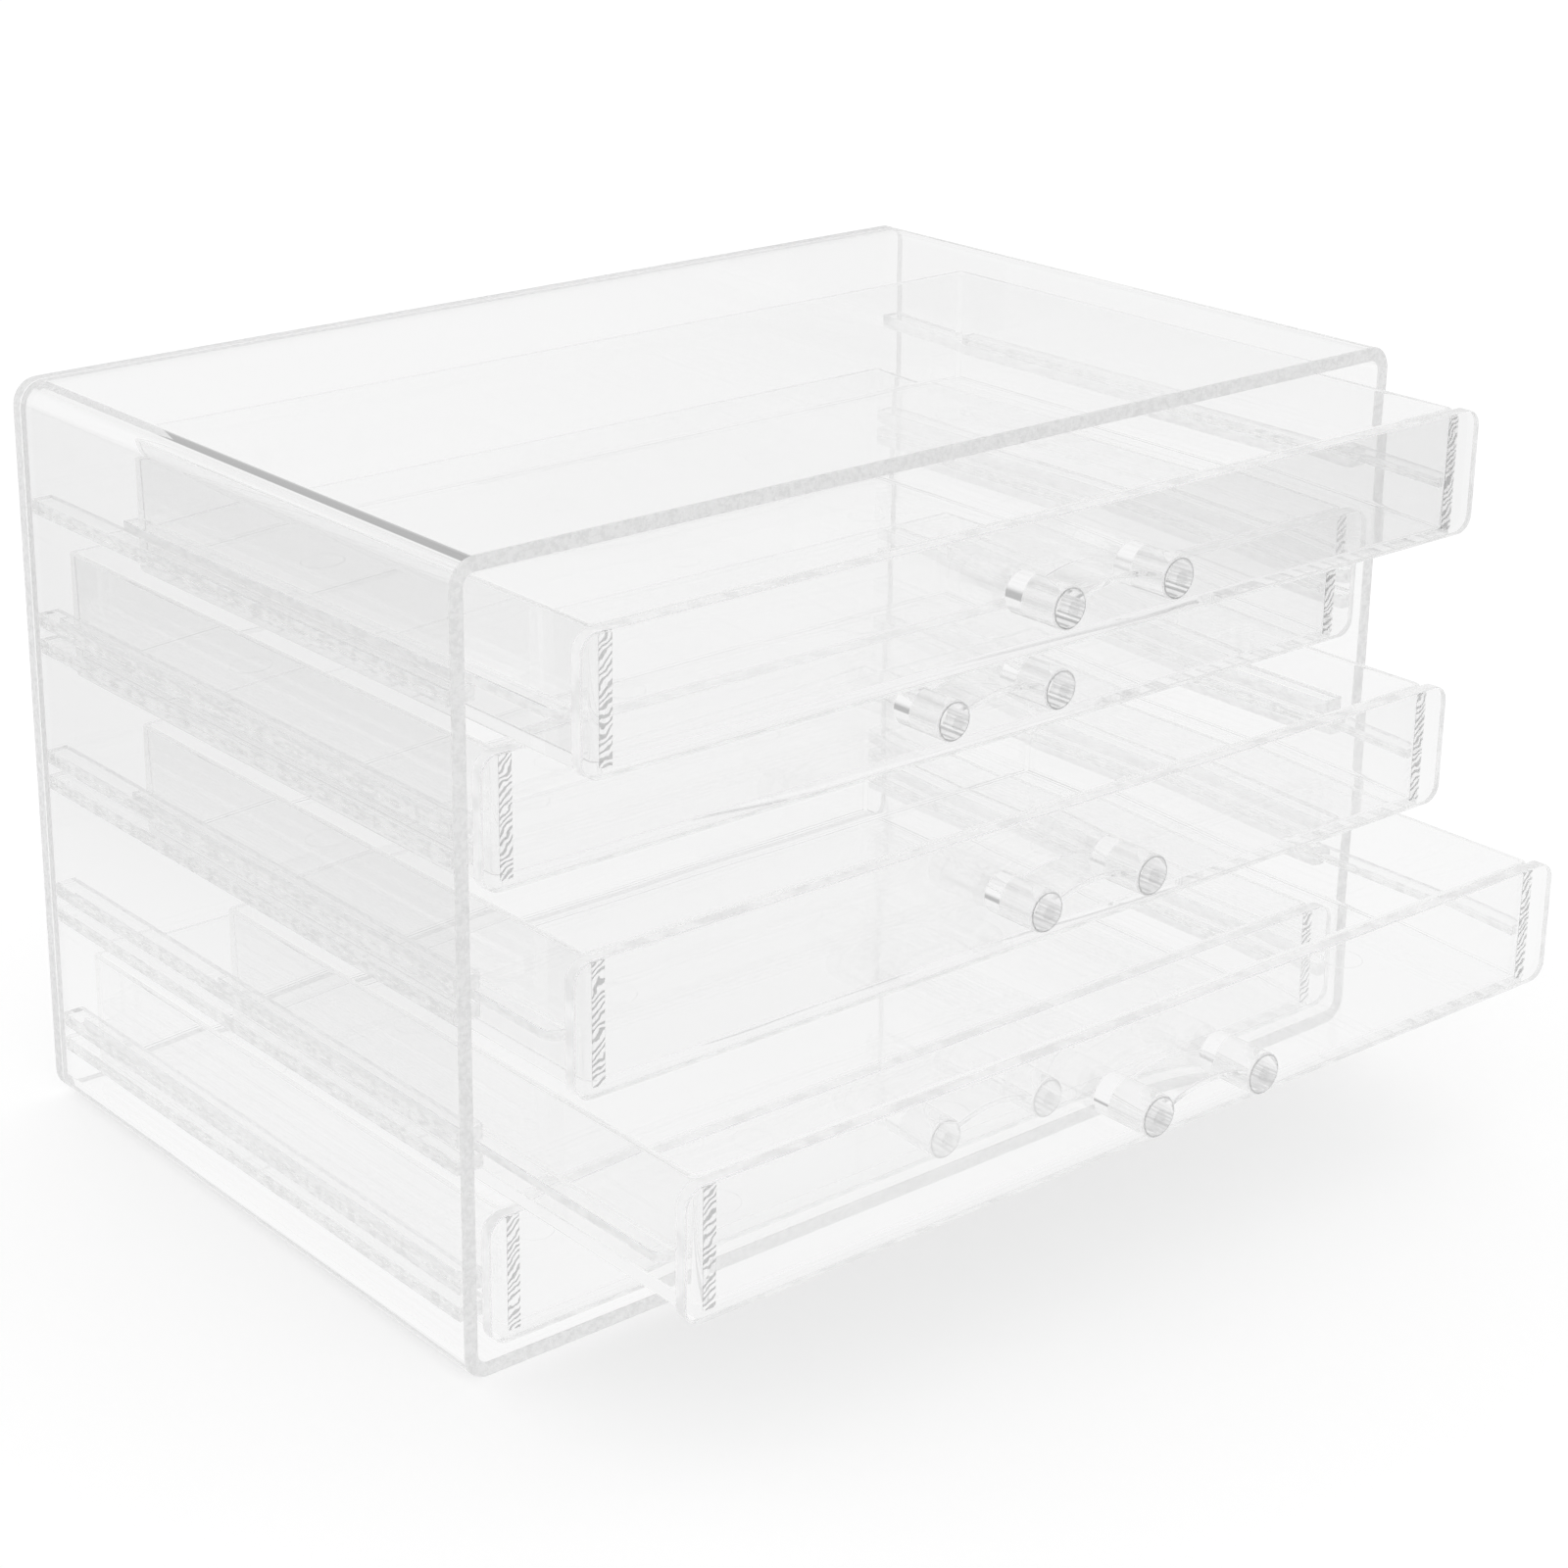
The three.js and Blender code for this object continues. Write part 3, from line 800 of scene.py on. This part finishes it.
def make_floor():
    """A white table: to the camera it is lit and takes the shadow, and in the plastic it glows.

    There painted shade turns it grey to the left of the box and far to the right before it, and a
    painted dark spot lies under the camera, as in a studio that is dark on those sides.
    """
    material, tree = new_material("matt_white_table")
    lit = add_node(tree, "ShaderNodeBsdfDiffuse", Color=srgb(TABLE_LIT))
    lift = add_node(tree, "ShaderNodeEmission", Color=srgb(TABLE_LIFT), Strength=1.0)
    seen = add_node(tree, "ShaderNodeAddShader", {0: lit.outputs[0], 1: lift.outputs[0]})

    position = add_node(tree, "ShaderNodeNewGeometry").outputs["Position"]
    place = add_node(tree, "ShaderNodeSeparateXYZ", {0: position})
    left = map_range(tree, place.outputs["X"], PAINTED_SHADE_LEFT)
    ahead = map_range(tree, place.outputs["Y"], PAINTED_SHADE_AHEAD)
    right = map_range(tree, place.outputs["X"], PAINTED_SHADE_RIGHT)
    ahead_right = add_node(tree, "ShaderNodeMath", {0: ahead, 1: right}, operation="MULTIPLY")
    share = add_node(tree, "ShaderNodeMath", {0: left, 1: ahead_right.outputs[0]},
                     operation="MAXIMUM")
    # Painted shade: grey in the table's glow on two sides, seen only in the plastic
    tone = mix_colours(tree, share.outputs[0], TABLE_BRIGHT, TABLE_PAINTED_SHADE)
    glow = add_node(tree, "ShaderNodeEmission", {"Color": tone}, Strength=1.0)
    # Painted shade: a dark spot in the glow under the camera, standing in for the tripod
    dark = add_node(tree, "ShaderNodeEmission", Color=srgb(TABLE_PAINTED_TRIPOD_SHADE), Strength=1.0)
    from_painted_tripod_shade = add_node(tree, "ShaderNodeVectorMath", {0: position}, operation="DISTANCE")
    from_painted_tripod_shade.inputs[1].default_value = PAINTED_TRIPOD_SHADE_PLACE
    tripod_shade_spot = map_range(tree, from_painted_tripod_shade.outputs["Value"], PAINTED_TRIPOD_SHADE_RANGE)
    glow_with_painted_shade = add_node(tree, "ShaderNodeMixShader",
                       {0: tripod_shade_spot, 1: glow.outputs[0], 2: dark.outputs[0]})

    path = add_node(tree, "ShaderNodeLightPath")
    in_plastic = add_node(tree, "ShaderNodeMath",
                          {0: path.outputs["Is Glossy Ray"],
                           1: path.outputs["Is Transmission Ray"]}, operation="MAXIMUM")
    both = add_node(tree, "ShaderNodeMixShader",
                    {0: in_plastic.outputs[0], 1: seen.outputs[0], 2: glow_with_painted_shade.outputs[0]})
    add_node(tree, "ShaderNodeOutputMaterial", {"Surface": both.outputs[0]})

    mesh = bpy.data.meshes.new("table")
    half = FLOOR_SIZE / 2
    corners = [(-half, -half), (half, -half), (half, half), (-half, half)]
    mesh.from_pydata([(x, y, -FLOOR_DROP) for x, y in corners], [], [(0, 1, 2, 3)])
    mesh.materials.append(material)
    make_object("table", mesh)


ROOM_BRIGHT = "F5F5F5"
# The dark gaps between the lights of the ceiling, and how high up the ceiling starts
CEILING_GAP = "B0B0B0"
CEILING_GAP_RANGE = (0.4, 0.6)
CEILING_RANGE = (0.48, 0.6)
# The photographer's side, and how nearly a direction has to point there to be dark
DARK_SIDE = Vector((-0.45, -0.85, 0.25)).normalized()
DARK_SIDE_TONE = "C4C4C4"
DARK_SIDE_RANGE = (0.7, 0.95)


def make_world():
    """A white studio, darker on the photographer's side, with dark gaps in its lit ceiling."""
    world = bpy.data.worlds.new("white_studio")
    world.use_nodes = True
    tree = world.node_tree
    tree.nodes.clear()
    direction = add_node(tree, "ShaderNodeTexCoord").outputs["Generated"]
    height = add_node(tree, "ShaderNodeSeparateXYZ", {0: direction}).outputs["Z"]
    strips = add_node(tree, "ShaderNodeTexWave", {"Vector": direction}, wave_type="BANDS",
                      bands_direction="DIAGONAL", Scale=1.2, Distortion=3.0, Detail=1.0,
                      Detail_Scale=0.6)
    between = map_range(tree, strips.outputs["Fac"], CEILING_GAP_RANGE)
    ceiling = map_range(tree, height, CEILING_RANGE)
    gaps = add_node(tree, "ShaderNodeMath", {0: between, 1: ceiling}, operation="MULTIPLY")
    tone = mix_colours(tree, gaps.outputs[0], ROOM_BRIGHT, CEILING_GAP)
    room = add_node(tree, "ShaderNodeBackground", {"Color": tone}, Strength=1.0)
    dark = add_node(tree, "ShaderNodeBackground", Color=srgb(DARK_SIDE_TONE), Strength=1.0)
    towards = add_node(tree, "ShaderNodeVectorMath", {0: direction}, operation="DOT_PRODUCT")
    towards.inputs[1].default_value = DARK_SIDE
    share = map_range(tree, towards.outputs["Value"], DARK_SIDE_RANGE)
    studio = add_node(tree, "ShaderNodeMixShader",
                      {0: share, 1: room.outputs[0], 2: dark.outputs[0]})

    # The background of the picture, and the light on the table, are plain white
    path = add_node(tree, "ShaderNodeLightPath")
    white = add_node(tree, "ShaderNodeBackground", Color=srgb("FFFFFF"), Strength=1.0)
    plain = add_node(tree, "ShaderNodeMath",
                     {0: path.outputs["Is Camera Ray"], 1: path.outputs["Is Diffuse Ray"]},
                     operation="MAXIMUM")
    both = add_node(tree, "ShaderNodeMixShader",
                    {0: plain.outputs[0], 1: studio.outputs[0], 2: white.outputs[0]})
    add_node(tree, "ShaderNodeOutputWorld", {"Surface": both.outputs[0]})
    bpy.context.scene.world = world


def make_camera():
    camera = bpy.data.cameras.new("camera")
    camera.lens = CAMERA_LENS
    camera.sensor_width = SENSOR_WIDTH
    camera.shift_x = 0.5 - PRINCIPAL_PX[0] / FRAME_PX
    camera.shift_y = PRINCIPAL_PX[1] / FRAME_PX - 0.5
    holder = bpy.data.objects.new("camera", camera)
    holder.location = CAMERA_PLACE
    holder.rotation_euler = (math.pi / 2 - CAMERA_ELEVATION, 0, CAMERA_AZIMUTH)
    bpy.context.scene.collection.objects.link(holder)
    bpy.context.scene.camera = holder


make_floor()
make_world()
make_camera()

# Light crosses many clear walls before it ends
MOST_CROSSINGS = 128
MOST_REFLECTIONS = 64
MOST_SEE_THROUGH = 48
# Light that is still caught between the faces of a piece after this many turns is let out into the
# room, past anything that is further off than the reach
MOST_TURNS = 20
TURN_REACH = 0.5 * MM

scene = bpy.context.scene
scene.cycles.max_bounces = MOST_CROSSINGS
scene.cycles.transmission_bounces = MOST_CROSSINGS
scene.cycles.glossy_bounces = MOST_REFLECTIONS
scene.cycles.transparent_max_bounces = MOST_SEE_THROUGH
scene.cycles.use_fast_gi = True
scene.cycles.fast_gi_method = "REPLACE"
scene.cycles.ao_bounces = MOST_TURNS
scene.cycles.ao_bounces_render = MOST_TURNS
scene.world.light_settings.distance = TURN_REACH
scene.view_settings.view_transform = "Standard"
